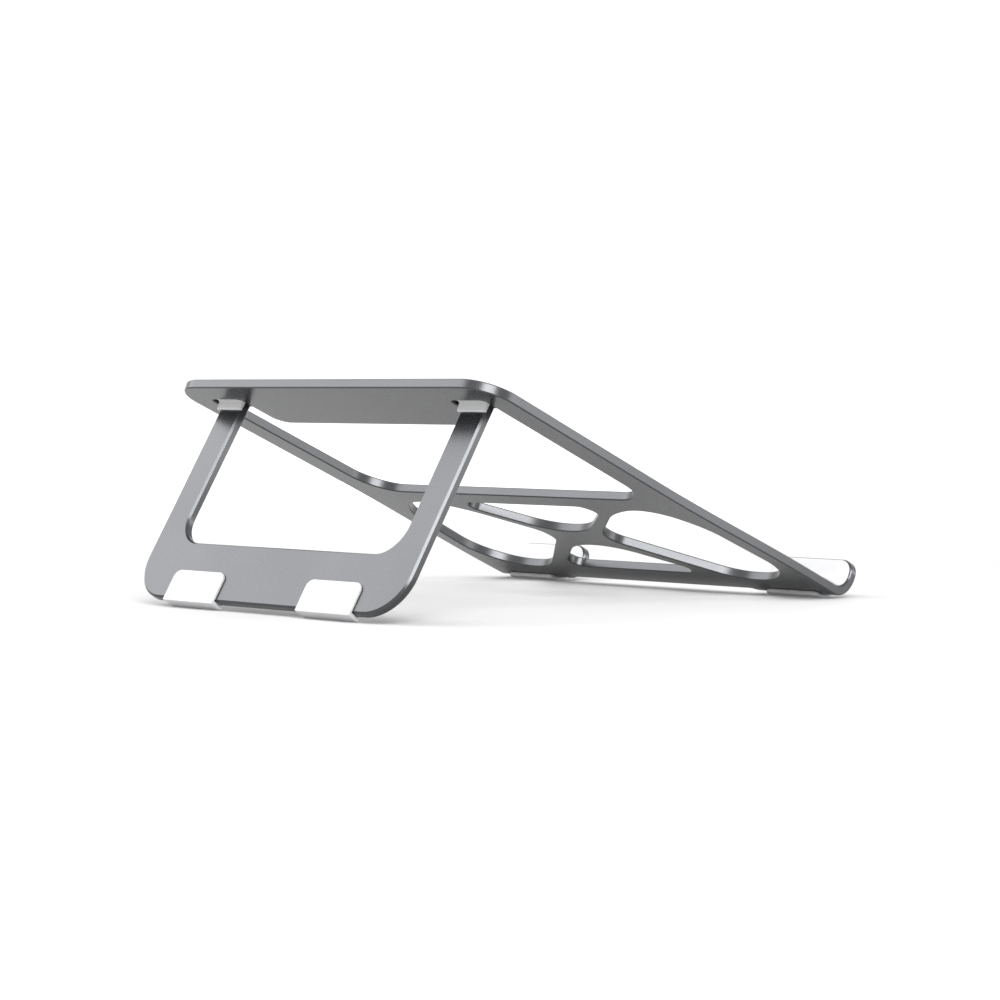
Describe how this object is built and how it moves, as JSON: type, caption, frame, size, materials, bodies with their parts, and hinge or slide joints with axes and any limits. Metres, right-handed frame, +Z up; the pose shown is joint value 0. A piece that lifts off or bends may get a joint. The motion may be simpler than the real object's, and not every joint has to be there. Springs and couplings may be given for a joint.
{
  "type": "laptop stand",
  "caption": "Folding laptop stand: a slanted cut-out aluminium plate with front hooks and silicone pads, held up by a hinged U-shaped leg.",
  "frame": {"origin": "on the desk, under the middle of the standing stand's bounding box", "axes": "+X to the right of the user who faces the stand, +Y away from the user, +Z up; the front hooks are at -Y"},
  "size_m": [0.232, 0.2954, 0.1067],
  "materials": {
    "anodised_aluminium": "fine satin grey anodised, chamfered edges left brighter",
    "silicone": "matt white moulded silicone",
    "steel": "ground",
    "nylon": "matt black"
  },
  "bodies": {
    "plate": {"hinge_pin_left": "steel", "hinge_cap_left": "anodised_aluminium", "inner_spacer_left": "nylon", "outer_spacer_left": "nylon", "hinge_pin_right": "steel", "hinge_cap_right": "anodised_aluminium", "inner_spacer_right": "nylon", "outer_spacer_right": "nylon", "platform_plate": "anodised_aluminium", "rear_grip_left": "silicone", "rear_grip_right": "silicone", "middle_grip": "silicone", "hook_liner_left": "silicone", "front_foot_left": "silicone", "hinge_bumper_left": "silicone", "hook_liner_right": "silicone", "front_foot_right": "silicone", "hinge_bumper_right": "silicone"},
    "leg": {"support_leg": "anodised_aluminium", "leg_boot_left": "silicone", "leg_boot_right": "silicone"}
  },
  "joints": [
    {"name": "leg_fold", "type": "hinge", "parent": "plate", "child": "leg", "pos_m": [0, 0.08586, 0.0958], "axis": [-1, 0, 0], "range_deg": [0, 99.1]}
  ]
}
